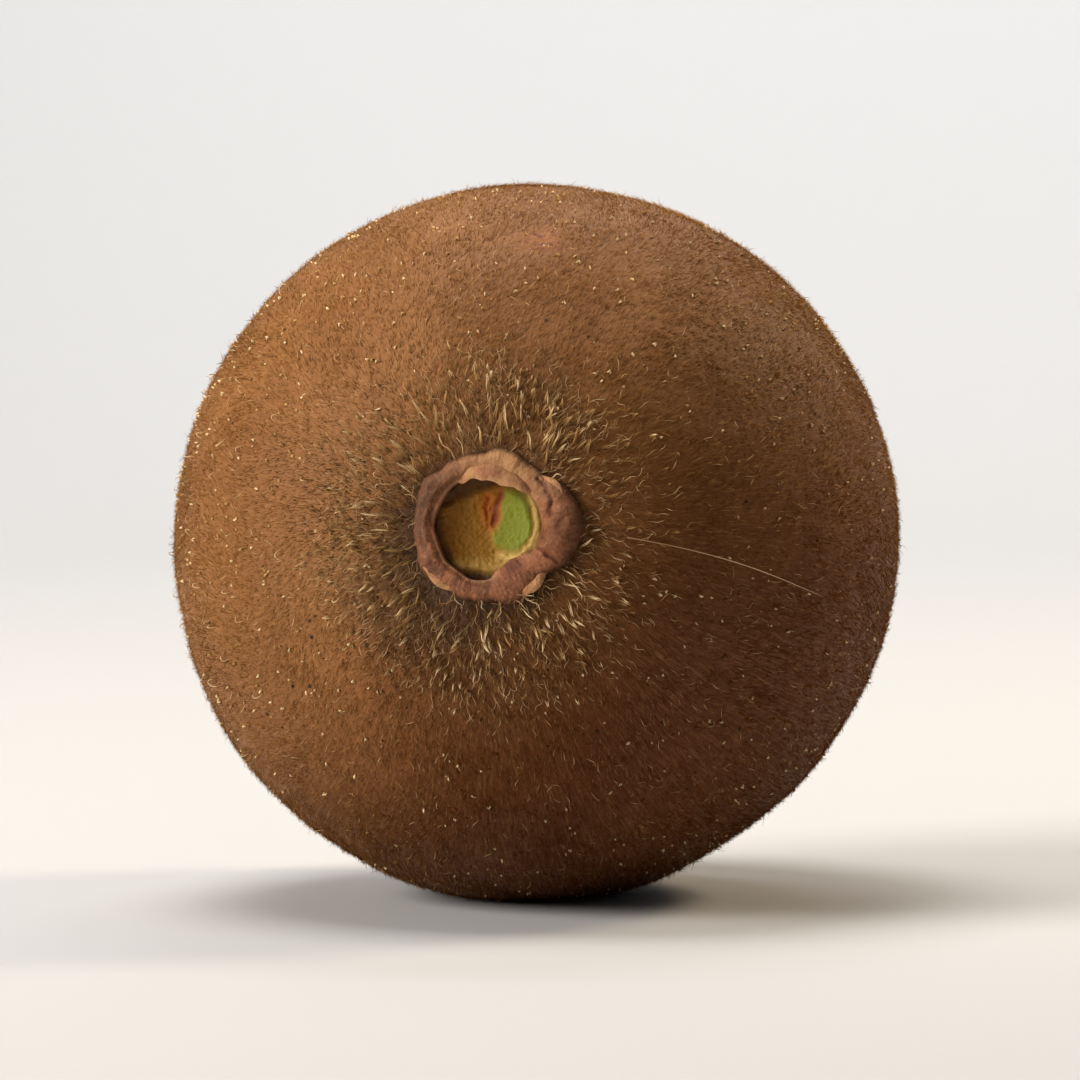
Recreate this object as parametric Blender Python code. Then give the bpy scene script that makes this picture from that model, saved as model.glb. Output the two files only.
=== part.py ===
"""A golden kiwi fruit lying on its side, with its dry collar and its crown of dried styles.

Every mesh is made in the fruit's own frame: the origin at mid length, +Z along the axis
towards the stem end, +Y up as it lies. One empty lays the fruit down. All sizes are in
metres, and a turn is an angle round the axis, from +X towards +Y.
"""

import math
import random

import bmesh
import bpy
from mathutils import Matrix, Vector

# The body: its pole to pole length is measured before the hollow at each end
DIAMETER = 0.0540
LENGTH = 0.0632
BLUNTNESS = 2.15  # 2 is an ellipse, more is a barrel
TAPER = 0.035  # the stem end is wider, and the blossom end narrower, by up to this share
OVAL = 0.007  # how oval the cross-section is, as a share of its radius
OVAL_TURN = math.radians(38)
THREE_SIDED = 0.005
THREE_SIDED_TURN = math.radians(15)

# How it lies
PITCH = math.radians(5)  # the stem end is raised by this
FLAT_DEPTH = 0.0004  # the fruit's own weight presses it flat by this
GAP = 0.0003  # between the fruit and each dead part of its flower

# The stem end: a hollow, with the stalk's round scar sunk in a dry collar
HOLLOW_DEPTH = 0.0017
HOLLOW_WIDTH = 0.0066
SCAR_RADIUS = 0.0037
SCAR_DEPTH = 0.0006
COLLAR_INNER = 0.0038
COLLAR_OUTER = 0.0054
COLLAR_HEIGHT = 0.0010
SEPALS = 5
SEPAL_REACH = 0.0004
CURLED_SEPAL_TURN = math.radians(2)
CURLED_SEPAL_HALF_TURN = math.radians(30)
CURLED_SEPAL_REACH = 0.0012
CURLED_SEPAL_RISE = 0.0005

# The blossom end: a pit, with the dried styles standing out round a hub
PIT_DEPTH = 0.0011
PIT_WIDTH = 0.0034
HUB_RADIUS = 0.0019
HUB_HEIGHT = 0.0010
STYLES = 16
STYLE_LENGTH = 0.0026
STYLE_ROOT_RADIUS = 0.00045
STYLE_TIP_RADIUS = 0.00022
STYLE_RISE = math.radians(15)

# Faces round and along each mesh
BODY_SEGMENTS = 72
BODY_ROWS = 48
CROWDING = 0.35  # how much closer the rows lie at the two ends than at the middle
COLLAR_SEGMENTS = 60
COLLAR_SIDES = 12


def clear_scene():
    for thing in list(bpy.data.objects):
        bpy.data.objects.remove(thing, do_unlink=True)


def material(name, colour, roughness):
    made = bpy.data.materials.new(name)
    made.use_nodes = True
    surface = made.node_tree.nodes["Principled BSDF"]
    surface.inputs["Base Color"].default_value = (*colour, 1.0)
    surface.inputs["Roughness"].default_value = roughness
    surface.inputs["Metallic"].default_value = 0.0
    return made


def bell(distance, width):
    """1 at no distance, fading as a Gaussian of this width."""
    return math.exp(-((distance / width) ** 2))


def angle_at(radius):
    """The outline's angle from the stem pole where it is this far from the axis."""
    return math.asin((radius / (DIAMETER / 2) / (1 + TAPER)) ** (BLUNTNESS / 2))


def outline(angle):
    """Distance from the axis and height along it, for an angle from 0 at the stem pole to pi.

    A superellipse that narrows towards the blossom end, with a Gaussian hollow at each
    pole, and the scar's flat-bottomed dish at the stem pole.
    """
    power = 2 / BLUNTNESS
    across = max(math.sin(angle), 0.0) ** power
    along = abs(math.cos(angle)) ** power
    radius = DIAMETER / 2 * across * (1 + TAPER * math.cos(angle))
    if math.cos(angle) < 0:
        return radius, -LENGTH / 2 * along + PIT_DEPTH * bell(radius, PIT_WIDTH)
    dish = SCAR_DEPTH * max(1 - (radius / SCAR_RADIUS) ** 4, 0.0)
    return radius, LENGTH / 2 * along - HOLLOW_DEPTH * bell(radius, HOLLOW_WIDTH) - dish


def skin_point(angle, turn, lift=0.0):
    """A point of the skin, raised outwards along the axis by lift.

    The cross-section is a circle whose radius gains a two-lobed and a three-lobed cosine,
    which fade out towards the poles.
    """
    radius, height = outline(angle)
    oval = OVAL * math.cos(2 * (turn - OVAL_TURN))
    three_sided = THREE_SIDED * math.cos(3 * (turn - THREE_SIDED_TURN))
    radius *= 1 + (oval + three_sided) * math.sin(angle) ** 2
    outwards = math.copysign(lift, math.cos(angle))
    return Vector((radius * math.cos(turn), radius * math.sin(turn), height + outwards))


def turn_of(point):
    return math.atan2(point.y, point.x)


def make_object(name, mesh, finish):
    """Makes an object of a bmesh, shaded smooth except along its sharp edges."""
    bmesh.ops.recalc_face_normals(mesh, faces=mesh.faces)
    data = bpy.data.meshes.new(name)
    mesh.to_mesh(data)
    mesh.free()
    data.materials.append(finish)
    data.shade_smooth()
    data.set_sharp_from_angle(angle=math.radians(40))
    made = bpy.data.objects.new(name, data)
    bpy.context.scene.collection.objects.link(made)
    return made


def body_mesh():
    """A sphere whose points move to the skin, row by row, with rows crowded at the ends."""
    mesh = bmesh.new()
    bmesh.ops.create_uvsphere(mesh, u_segments=BODY_SEGMENTS, v_segments=BODY_ROWS, radius=1.0)
    for vertex in mesh.verts:
        even = math.acos(max(-1.0, min(1.0, vertex.co.z)))
        angle = even - CROWDING * math.sin(2 * even)
        vertex.co = skin_point(angle, turn_of(vertex.co))
    return mesh


def press_flat(mesh, lay):
    """Cuts the body level where it lies and returns the height of the cut."""
    level = min((lay @ vertex.co).z for vertex in mesh.verts) + FLAT_DEPTH
    down = lay.inverted() @ Vector((0, 0, -1))
    parts = mesh.verts[:] + mesh.edges[:] + mesh.faces[:]
    on_cut = lay.inverted() @ Vector((0, 0, level))
    cut = bmesh.ops.bisect_plane(
        mesh, geom=parts, dist=1e-7, plane_co=on_cut, plane_no=down, clear_outer=True
    )
    rim = [edge for edge in cut["geom_cut"] if isinstance(edge, bmesh.types.BMEdge)]
    bmesh.ops.edgeloop_fill(mesh, edges=rim)
    return level


def collar_mesh():
    """A ring that lies on the seat round the scar, with the stubs of the sepals.

    A torus gives each point its turn and its angle round the ring's section. The section
    is a low arch from the inner edge to the outer one, over a foot that follows the skin.
    The outer edge reaches further at each sepal, and most at the curled one.
    """
    mesh = bmesh.new()
    ring = bmesh.ops.create_circle(mesh, segments=COLLAR_SIDES, radius=1.0)["verts"]
    middle = Vector((2, 0, 0))
    bmesh.ops.rotate(mesh, verts=ring, cent=(0, 0, 0), matrix=Matrix.Rotation(math.pi / 2, 3, "X"))
    bmesh.ops.translate(mesh, verts=ring, vec=middle)
    bmesh.ops.spin(
        mesh,
        geom=mesh.verts[:] + mesh.edges[:],
        cent=(0, 0, 0),
        axis=(0, 0, 1),
        angle=math.tau,
        steps=COLLAR_SEGMENTS,
    )
    bmesh.ops.remove_doubles(mesh, verts=mesh.verts, dist=1e-5)
    for vertex in mesh.verts:
        turn = turn_of(vertex.co)
        section = math.atan2(vertex.co.z, math.hypot(vertex.co.x, vertex.co.y) - middle.x)
        vertex.co = collar_point(turn, section)
    return mesh


def collar_point(turn, section):
    sepal = max(math.cos(SEPALS * (turn - CURLED_SEPAL_TURN)), 0.0)
    off_curl = math.remainder(turn - CURLED_SEPAL_TURN, math.tau)
    curl = bell(off_curl, CURLED_SEPAL_HALF_TURN)
    outer = COLLAR_OUTER + SEPAL_REACH * sepal + CURLED_SEPAL_REACH * curl
    radius = (COLLAR_INNER + outer) / 2 + (outer - COLLAR_INNER) / 2 * math.cos(section)
    arch = max(math.sin(section), 0.0)
    lift = GAP + (COLLAR_HEIGHT + CURLED_SEPAL_RISE * curl) * arch
    return skin_point(angle_at(radius), turn, lift)


def hub_mesh():
    """A flattened ball that stands clear of the bottom of the pit."""
    mesh = bmesh.new()
    bmesh.ops.create_uvsphere(mesh, u_segments=16, v_segments=8, radius=1.0)
    bmesh.ops.scale(mesh, verts=mesh.verts, vec=(HUB_RADIUS, HUB_RADIUS, HUB_HEIGHT / 2))
    middle = skin_point(math.pi, 0.0, GAP + HUB_HEIGHT / 2)
    bmesh.ops.translate(mesh, verts=mesh.verts, vec=middle)
    return mesh


def style_mesh(turn, rise, length):
    """A tapered five-sided style from inside the hub outwards, tilted off the skin by rise."""
    mesh = bmesh.new()
    bmesh.ops.create_cone(
        mesh,
        segments=5,
        radius1=STYLE_ROOT_RADIUS,
        radius2=STYLE_TIP_RADIUS,
        depth=length,
        cap_ends=True,
    )
    root = skin_point(math.pi - angle_at(HUB_RADIUS / 2), turn, GAP + STYLE_ROOT_RADIUS * 1.1)
    away = Vector((math.cos(turn) * math.cos(rise), math.sin(turn) * math.cos(rise), -math.sin(rise)))
    place = Matrix.Translation(root + away * length / 2) @ away.to_track_quat("Z", "X").to_matrix().to_4x4()
    bmesh.ops.transform(mesh, matrix=place, verts=mesh.verts)
    return mesh


def dried_styles(finish):
    """The hub and the styles round it, fused into one body."""
    draw = random.Random(5)
    loose = bpy.data.collections.new("loose styles")
    for style in range(STYLES):
        turn = math.tau * (style + draw.uniform(-0.3, 0.3)) / STYLES
        rise = STYLE_RISE * draw.uniform(0.6, 1.9)
        mesh = style_mesh(turn, rise, STYLE_LENGTH * draw.uniform(0.8, 1.1))
        loose.objects.link(make_object("style", mesh, finish))
    crown = make_object("dried_styles", hub_mesh(), finish)
    join = crown.modifiers.new("join", "BOOLEAN")
    join.operation = "UNION"
    join.operand_type = "COLLECTION"
    join.collection = loose
    fused = crown.evaluated_get(bpy.context.evaluated_depsgraph_get())
    crown.data = bpy.data.meshes.new_from_object(fused)
    crown.modifiers.remove(join)
    for style in list(loose.objects):
        bpy.data.objects.remove(style, do_unlink=True)
    bpy.data.collections.remove(loose)
    return crown


def lay_down(pieces, lay, level):
    """Parents the pieces to an empty that lays them down, centred over the origin."""
    corners = [lay @ vertex.co for piece in pieces for vertex in piece.data.vertices]
    middle_x = (min(p.x for p in corners) + max(p.x for p in corners)) / 2
    middle_y = (min(p.y for p in corners) + max(p.y for p in corners)) / 2
    resting = bpy.data.objects.new("lying_down", None)
    bpy.context.scene.collection.objects.link(resting)
    resting.rotation_euler = lay.to_euler()
    resting.location = (-middle_x, -middle_y, -level)
    for piece in pieces:
        piece.parent = resting


def build():
    clear_scene()
    lay = Matrix.Rotation(math.pi / 2 - PITCH, 4, "X")
    body = body_mesh()
    level = press_flat(body, lay)
    pieces = [
        make_object("fruit", body, material("skin", (0.28, 0.15, 0.06), 0.6)),
        make_object("calyx", collar_mesh(), material("calyx", (0.32, 0.16, 0.10), 0.7)),
        dried_styles(material("dried styles", (0.035, 0.018, 0.010), 0.85)),
    ]
    lay_down(pieces, lay, level)


build()
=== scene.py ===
"""The looks of a golden kiwi fruit that lies on its side with its stem end to the camera.

Surfaces are worked out in the fruit's own frame, in metres: the origin at mid length, +Z
along the axis towards the stem end, +Y up as it lies. A point of the skin has an angle, 0
at the stem pole to pi at the blossom pole, and a turn round the axis from +X towards +Y.
lay_down() then brings every point to where the fruit rests.
"""

import math

import bpy
import numpy as np
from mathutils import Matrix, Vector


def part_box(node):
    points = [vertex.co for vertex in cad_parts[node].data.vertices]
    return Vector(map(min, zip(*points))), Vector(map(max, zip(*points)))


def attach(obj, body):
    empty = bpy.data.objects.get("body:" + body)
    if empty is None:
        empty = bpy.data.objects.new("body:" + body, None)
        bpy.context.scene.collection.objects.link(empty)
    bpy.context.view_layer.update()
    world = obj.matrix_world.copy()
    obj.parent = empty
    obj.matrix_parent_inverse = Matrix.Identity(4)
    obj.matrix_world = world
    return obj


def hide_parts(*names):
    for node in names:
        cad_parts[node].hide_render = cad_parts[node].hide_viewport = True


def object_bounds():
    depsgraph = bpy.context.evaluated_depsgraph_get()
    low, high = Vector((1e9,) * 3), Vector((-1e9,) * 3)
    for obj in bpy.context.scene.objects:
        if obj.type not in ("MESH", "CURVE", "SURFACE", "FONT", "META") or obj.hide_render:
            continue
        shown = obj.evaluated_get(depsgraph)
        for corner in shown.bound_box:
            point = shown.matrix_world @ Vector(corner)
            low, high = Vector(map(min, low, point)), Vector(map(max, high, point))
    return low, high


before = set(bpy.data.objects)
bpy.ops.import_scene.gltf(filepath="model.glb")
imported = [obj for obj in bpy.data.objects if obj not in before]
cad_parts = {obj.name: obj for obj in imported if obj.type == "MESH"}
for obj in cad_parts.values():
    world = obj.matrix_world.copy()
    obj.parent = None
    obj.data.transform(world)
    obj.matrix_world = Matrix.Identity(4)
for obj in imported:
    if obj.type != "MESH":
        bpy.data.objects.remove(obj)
cad_low, cad_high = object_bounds()

# The fruit's form, as in the solid
DIAMETER = 0.0540
LENGTH = 0.0632
BLUNTNESS = 2.15
TAPER = 0.035
OVAL, OVAL_TURN = 0.007, math.radians(38)
THREE_SIDED, THREE_SIDED_TURN = 0.005, math.radians(15)
PITCH = math.radians(5)
HOLLOW_DEPTH, HOLLOW_WIDTH = 0.0017, 0.0066
SCAR_RADIUS, SCAR_DEPTH = 0.0037, 0.0006
COLLAR_INNER, COLLAR_OUTER, COLLAR_HEIGHT = 0.0038, 0.0054, 0.0010
SEPALS, SEPAL_REACH = 5, 0.0004
CURL_TURN, CURL_HALF_TURN = math.radians(2), math.radians(30)
CURL_REACH, CURL_RISE = 0.0012, 0.0005
PIT_DEPTH, PIT_WIDTH = 0.0011, 0.0034
HUB_RADIUS = 0.0019

# The camera's place, seen from the middle of the fruit
CAMERA_AZIMUTH = math.radians(6.8)
CAMERA_ELEVATION = math.radians(2.8)
CAMERA_DISTANCE = 0.60
FRUIT_SHARE = 0.66  # of the picture's width
MIDDLE = (np.array(cad_low) + np.array(cad_high)) / 2

# Marks on the skin, each so far right and up of the fruit's middle as the camera sees it
DARK_DOTS = [(-16.8, -5.9), (-16.6, -7.1), (-12.5, -7.6), (-18.1, -10.7), (-16.8, -10.7), (-19.9, -12.8)]
SCAB = (0.3, 22.0)
STRAY_HAIR = [(6.3, 0.2), (21.2, -4.3)]

# Colours, as they look on the screen in even light
BROWN_DEEP, BROWN_WARM = (106, 64, 28), (142, 93, 48)
# The last of these is painted shade, the deeper brown laid on the lower right side.
BROWN_PALE, BROWN_DARK, SHADE_BROWN = (162, 112, 64), (70, 40, 15), (84, 37, 1)
# The first of these is a greyer ground with painted shade, in the hollow round the collar.
GROUND_GREY_AND_SHADE, BLOSSOM_GROUND = (58, 40, 25), (36, 23, 14)
STRAW, PIT_BROWN, SCAB_TINT, SCAB_RED = (224, 192, 142), (46, 24, 10), (172, 100, 54), (92, 36, 18)
PAD_GREEN, OLIVE, OLIVE_DEEP, CREAM = (118, 124, 28), (138, 96, 20), (136, 86, 22), (200, 168, 92)
# The last of these is painted shade, for the scar's crevice and under the papery arch.
STREAK_TINT, STREAK_RED, CREVICE_SHADE = (172, 82, 6), (104, 32, 0), (62, 32, 14)
# The last of these is a pale tone painted as a highlight along the lip and on the wrinkles' ridges.
COLLAR_TAN, COLLAR_BROWN, LIP_PALE = (150, 93, 60), (108, 64, 36), (184, 138, 104)
# The second of these paints shade in the wrinkles' hollows and the folds' creases, besides the waxy
# fold's own colour.
PAPER, FOLD_MAUVE = (188, 138, 90), (90, 44, 30)
STYLE_BLACK, STYLE_BROWN = (34, 22, 14), (116, 80, 48)
FINE_BUMP, WRINKLE_BUMP, CRUMB_BUMP = 0.00006, 0.00014, 0.00015  # depths of the finishes

MM = 0.001
STEP = 1e-4  # in angle and turn, for differences of the skin


def bell(distance, width):
    """1 at no distance, fading as a Gaussian of this width."""
    return np.exp(-((distance / width) ** 2))


def smooth(value, low, high):
    """0 below low and 1 above high, with the cubic 3t^2 - 2t^3 between them."""
    t = ((value - low) / (high - low)).clip(0, 1)
    return t * t * (3 - 2 * t)


def unit(vectors):
    return vectors / np.maximum(np.linalg.norm(vectors, axis=-1, keepdims=True), 1e-9)


def off_axis(points):
    return np.hypot(points[..., 0], points[..., 1])


def on_plane(x, y):
    """Places on a plane, as points in space."""
    return np.stack([x, y, 0 * x], -1)


def ring_at(turn):
    return on_plane(np.cos(turn), np.sin(turn))


def round_turns(count):
    """Turns that share a circle out evenly."""
    return np.arange(count) / count * math.tau


def grid_of(down, along):
    """Two rows of numbers as grids, the first down the rows and the second along them."""
    return np.meshgrid(down, along, indexing="ij")


def off_line(x, y, start, end):
    """Distance of points in a plane from the straight stretch between two places."""
    run = np.array(end) - np.array(start)
    share = (((x - start[0]) * run[0] + (y - start[1]) * run[1]) / (run @ run)).clip(0, 1)
    return np.hypot(x - start[0] - share * run[0], y - start[1] - share * run[1])


def wrapped(turn):
    """A turn brought to between minus pi and pi."""
    return np.remainder(turn + math.pi, math.tau) - math.pi


def waves(points, size, seed, count=24):
    """Smooth noise of about -1 to 1: sines of the distance along random directions, added up."""
    draw = np.random.default_rng(seed)
    ways = unit(draw.normal(size=(count, 3))) / (size * draw.uniform(0.6, 1.5, (count, 1)))
    phases = draw.uniform(0, math.tau, count)
    return np.sin(points @ ways.T * math.tau + phases).sum(-1) / math.sqrt(count)


def angle_at(radius):
    """The outline's angle from the stem pole where it is this far from the axis."""
    return np.arcsin((radius / (DIAMETER / 2) / (1 + TAPER)) ** (BLUNTNESS / 2))


def skin_point(angle, turn):
    """A point of the smooth skin.

    The outline is a superellipse that narrows towards the blossom end, with a Gaussian
    hollow at each pole and the scar's flat-bottomed dish at the stem pole. The
    cross-section is a circle whose radius gains a two-lobed and a three-lobed cosine.
    """
    across = np.sin(angle).clip(0) ** (2 / BLUNTNESS)
    along = np.abs(np.cos(angle)) ** (2 / BLUNTNESS) * LENGTH / 2
    radius = DIAMETER / 2 * across * (1 + TAPER * np.cos(angle))
    dish = SCAR_DEPTH * (1 - (radius / SCAR_RADIUS) ** 4).clip(0)
    stem = along - HOLLOW_DEPTH * bell(radius, HOLLOW_WIDTH) - dish
    blossom = PIT_DEPTH * bell(radius, PIT_WIDTH) - along
    oval = OVAL * np.cos(2 * (turn - OVAL_TURN))
    three_sided = THREE_SIDED * np.cos(3 * (turn - THREE_SIDED_TURN))
    radius = radius * (1 + (oval + three_sided) * np.sin(angle) ** 2)
    height = np.where(np.cos(angle) >= 0, stem, blossom)
    return np.stack([radius * np.cos(turn), radius * np.sin(turn), height], -1)


def skin_steps(angle, turn):
    """Differences of skin_point over a small step in the angle, and in the turn."""
    down = skin_point(angle + STEP, turn) - skin_point(angle - STEP, turn)
    return down, skin_point(angle, turn + STEP) - skin_point(angle, turn - STEP)


def skin_ways(angle, turn):
    """At each point of the skin: the way along it from the stem end, the way round, and out."""
    along, around = (unit(way) for way in skin_steps(angle, turn))
    return along, around, unit(np.cross(along, around))


def raised(angle, turn, lift):
    """A point of the skin moved out along its normal by lift."""
    out = skin_ways(angle, turn)[2]
    return skin_point(angle, turn) + out * np.asarray(lift)[..., None]


def turned_down(points):
    """The fruit's frame turned to how it lies: +Z to -Y, raised by the pitch."""
    tip = math.pi / 2 - PITCH
    y, z = points[..., 1], points[..., 2]
    low = y * math.sin(tip) + z * math.cos(tip)
    return np.stack([points[..., 0], y * math.cos(tip) - z * math.sin(tip), low], -1)


def resting_shift():
    """What brings the turned fruit to the solid's place: both boxes share their middle and top."""
    angle, turn = np.meshgrid(np.linspace(0, math.pi, 200), np.linspace(0, math.tau, 360))
    points = turned_down(skin_point(angle, turn)).reshape(-1, 3)
    low, high = points.min(0), points.max(0)
    box_low, box_high = (np.array(corner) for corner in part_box("fruit"))
    middle = (box_low + box_high - low - high) / 2
    return np.array([middle[0], middle[1], box_high[2] - high[2]])


SHIFT = resting_shift()
CAMERA_AWAY = np.array([
    math.sin(CAMERA_AZIMUTH) * math.cos(CAMERA_ELEVATION),
    -math.cos(CAMERA_AZIMUTH) * math.cos(CAMERA_ELEVATION),
    math.sin(CAMERA_ELEVATION),
])
CAMERA_RIGHT = np.array([math.cos(CAMERA_AZIMUTH), math.sin(CAMERA_AZIMUTH), 0])
CAMERA_UP = np.cross(CAMERA_AWAY, CAMERA_RIGHT)


def seen_at(places):
    """Angles and turns of the skin at places in millimetres right and up of the middle.

    Each is the nearest of a fine grid of points on the stem half, as the camera sees them.
    """
    angle, turn = np.meshgrid(np.linspace(0, math.pi / 2, 400), np.linspace(-math.pi, math.pi, 900))
    points = turned_down(skin_point(angle, turn)).reshape(-1, 3) + SHIFT - MIDDLE
    seen = points @ np.stack([CAMERA_RIGHT, CAMERA_UP], -1)
    off = np.linalg.norm(seen[None] - np.array(places)[:, None] * MM, axis=-1)
    nearest = off.argmin(1)
    return angle.ravel()[nearest], turn.ravel()[nearest]


def lay_down(points, floor=0.0):
    """Brings points of the fruit's frame to where it rests, with none below the floor."""
    laid = turned_down(points) + SHIFT
    laid[..., 2] = laid[..., 2].clip(floor)
    return laid


def new_mesh(name, points, faces, finish):
    """A smooth shaded mesh of one material."""
    mesh = bpy.data.meshes.new(name)
    mesh.from_pydata(points.reshape(-1, 3), [], faces)
    mesh.polygons.foreach_set("use_smooth", np.ones(len(mesh.polygons), bool))
    mesh.materials.append(finish)
    return mesh


def put(name, data):
    """A new object of this data, in the scene."""
    made = bpy.data.objects.new(name, data)
    bpy.context.scene.collection.objects.link(made)
    return made


def add_piece(name, points, faces, finish, marks=None, bake_map=None):
    """Makes a piece of points in world space that rides on the fruit's body.

    marks are numbers for each point, by name. bake_map is a place on a map for each point.
    """
    mesh = new_mesh(name, points, faces, finish)
    for key, values in (marks or {}).items():
        layer = mesh.attributes.new(key, "FLOAT", "POINT")
        layer.data.foreach_set("value", values.astype(np.float32).ravel())
    if bake_map is not None:
        corners = np.empty(len(mesh.loops), np.int32)
        mesh.loops.foreach_get("vertex_index", corners)
        layer = mesh.uv_layers.new(name="OFBake")
        layer.uv.foreach_set("vector", bake_map.reshape(-1, 2)[corners].astype(np.float32).ravel())
    piece = put(name, mesh)
    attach(piece, "root")
    return piece


def sheet_faces(rows, columns, wrap=True, close=False):
    """Quads between neighbours of a grid of points.

    Its last column joins its first if they wrap, and its last row its first if they close.
    """
    row, column = grid_of(np.arange(rows - (not close)), np.arange(columns - (not wrap)))
    beside, row, below = (column + 1) % columns, row * columns, (row + 1) % rows * columns
    corners = [row + column, below + column, below + beside, row + beside]
    return np.stack(corners, -1).reshape(-1, 4)


def capped_grid(grid):
    """Points and faces of a closed surface: rows of rings whose first and last are points."""
    rows, columns = grid.shape[:2]
    points = np.concatenate([grid[0, :1], grid[1:-1].reshape(-1, 3), grid[-1, :1]])
    first = np.arange(columns) + 1
    beside = (np.arange(columns) + 1) % columns + 1
    last = (rows - 3) * columns
    start = np.stack([np.zeros_like(first), first, beside], -1)
    end = np.stack([np.full_like(first, len(points) - 1), beside + last, first + last], -1)
    middle = sheet_faces(rows - 2, columns) + 1
    return points, middle.tolist() + start.tolist() + end.tolist()


def grid_values(values):
    """A grid of numbers in the order of capped_grid's points."""
    return np.concatenate([values[0, :1], values[1:-1].ravel(), values[-1, :1]])


def add_closed(name, grid, finish, marks=None):
    """Makes a piece of a closed surface, of a grid in the fruit's frame and its marks."""
    points, faces = capped_grid(lay_down(grid))
    marks = {key: grid_values(values) for key, values in (marks or {}).items()}
    return add_piece(name, points, faces, finish, marks)


# Shader helpers


def linear(red, green, blue):
    """A colour given as 0 to 255 on the screen, in the shader's linear light."""
    screen = np.array([red, green, blue]) / 255
    light = np.where(screen > 0.04045, ((screen + 0.055) / 1.055) ** 2.4, screen / 12.92)
    return (*light.tolist(), 1.0)


def add(tree, kind, inputs=None, **settings):
    """Adds a node, with its settings, and its inputs as values or as links."""
    node = tree.nodes.new(kind)
    for key, value in settings.items():
        setattr(node, key, value)
    for key, value in (inputs or {}).items():
        if isinstance(value, bpy.types.NodeSocket):
            tree.links.new(value, node.inputs[key])
        else:
            node.inputs[key].default_value = value
    return node


def maths(tree, operation, first, second=0.0):
    return add(tree, "ShaderNodeMath", {0: first, 1: second}, operation=operation).outputs[0]


def vector_maths(tree, operation, first, second=None):
    inputs = {0: first}
    if second is not None:
        inputs["Scale" if operation == "SCALE" else 1] = second
    node = add(tree, "ShaderNodeVectorMath", inputs, operation=operation)
    return node.outputs["Value" if operation in ("LENGTH", "DOT_PRODUCT") else "Vector"]


def masked(tree, first, second):
    """The product of two masks."""
    return maths(tree, "MULTIPLY", first, second)


def added(tree, *parts):
    """The sum of values, each plain or in a pair with what it is multiplied by."""
    values = [masked(tree, *part) if isinstance(part, tuple) else part for part in parts]
    result = values[0]
    for value in values[1:]:
        result = maths(tree, "ADD", result, value)
    return result


def fade(tree, value, low, high, start=0.0, end=1.0):
    """Start where the value is at low or below, end at high or above, smooth between."""
    inputs = {"Value": value, "From Min": low, "From Max": high, "To Min": start, "To Max": end}
    node = add(tree, "ShaderNodeMapRange", inputs, interpolation_type="SMOOTHSTEP")
    return node.outputs["Result"]


def mixed(tree, mask, first, second):
    """The first colour where the mask is 0, and the second where it is 1."""
    first, second = (linear(*x) if isinstance(x, tuple) else x for x in (first, second))
    node = add(tree, "ShaderNodeMix", {0: mask, 6: first, 7: second}, data_type="RGBA")
    return node.outputs[2]


def mark(tree, name):
    """A number stored at each point of the piece."""
    return add(tree, "ShaderNodeAttribute", attribute_name=name).outputs["Fac"]


def painted(tree, colour, *layers):
    """A colour with others laid over it in turn: where, or by which mark, what and how much."""
    for mask, over, strength in layers:
        mask = mark(tree, mask) if isinstance(mask, str) else mask
        colour = mixed(tree, masked(tree, mask, strength), colour, over)
    return colour


def noise(tree, place, scale, detail=2.0, roughness=0.5):
    inputs = {"Vector": place, "Scale": scale, "Detail": detail, "Roughness": roughness}
    return add(tree, "ShaderNodeTexNoise", inputs).outputs["Fac"]


def new_group(name, inputs, outputs, build):
    """A shader node group with named sockets: vectors for a place or a way, else numbers.

    build takes the tree and the sockets that come in, and gives those that go out.
    """
    tree = bpy.data.node_groups.new(name, "ShaderNodeTree")
    for side, labels in (("INPUT", inputs), ("OUTPUT", outputs)):
        for label in labels:
            kind = "NodeSocketVector" if label in ("Place", "Way round") else "NodeSocketFloat"
            tree.interface.new_socket(label, in_out=side, socket_type=kind)
    made = build(tree, *tree.nodes.new("NodeGroupInput").outputs[:len(inputs)])
    out = tree.nodes.new("NodeGroupOutput")
    for label, socket in zip(outputs, made):
        tree.links.new(socket, out.inputs[label])
    return tree


def placed(tree, group, *values):
    """The outputs of a node group placed in a material with its own values."""
    return add(tree, "ShaderNodeGroup", dict(enumerate(values)), node_tree=group).outputs


def fruit_place(tree):
    """Object coordinates brought back to the fruit's frame, in millimetres.

    Gives the point, its distance from the axis, its height on it, and the way round it.
    """
    tip = math.pi / 2 - PITCH
    back = [SHIFT[0], SHIFT[1] * math.cos(tip) + SHIFT[2] * math.sin(tip)]
    back += [SHIFT[2] * math.cos(tip) - SHIFT[1] * math.sin(tip)]
    coordinates = add(tree, "ShaderNodeTexCoord").outputs["Object"]
    inputs = {"Vector": coordinates, "Location": [-x for x in back], "Rotation": (-tip, 0, 0)}
    mapping = add(tree, "ShaderNodeMapping", inputs, vector_type="POINT").outputs[0]
    place = vector_maths(tree, "SCALE", mapping, 1 / MM)
    flat = vector_maths(tree, "MULTIPLY", place, (1, 1, 0))
    along = add(tree, "ShaderNodeSeparateXYZ", {0: place}).outputs["Z"]
    return place, vector_maths(tree, "LENGTH", flat), along, vector_maths(tree, "NORMALIZE", flat)


def specks(tree, place, per_mm, radius_mm, share):
    """Round dots scattered at random: 1 inside them.

    A Voronoi cell's distance to its point gives a dot, and the cell's own random colour
    keeps only a share of the dots and varies their size.
    """
    cells = add(tree, "ShaderNodeTexVoronoi", {"Vector": place, "Scale": per_mm}).outputs
    lot = add(tree, "ShaderNodeSeparateColor", {0: cells["Color"]}).outputs
    distance = maths(tree, "DIVIDE", cells["Distance"], per_mm)
    radius = masked(tree, radius_mm, fade(tree, lot["Green"], 0.0, 1.0, 0.45, 1.0))
    dot = maths(tree, "SUBTRACT", 1.0, maths(tree, "DIVIDE", distance, radius))
    kept = maths(tree, "LESS_THAN", lot["Red"], share)
    return [masked(tree, fade(tree, dot, 0.0, 0.5), kept)]


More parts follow.
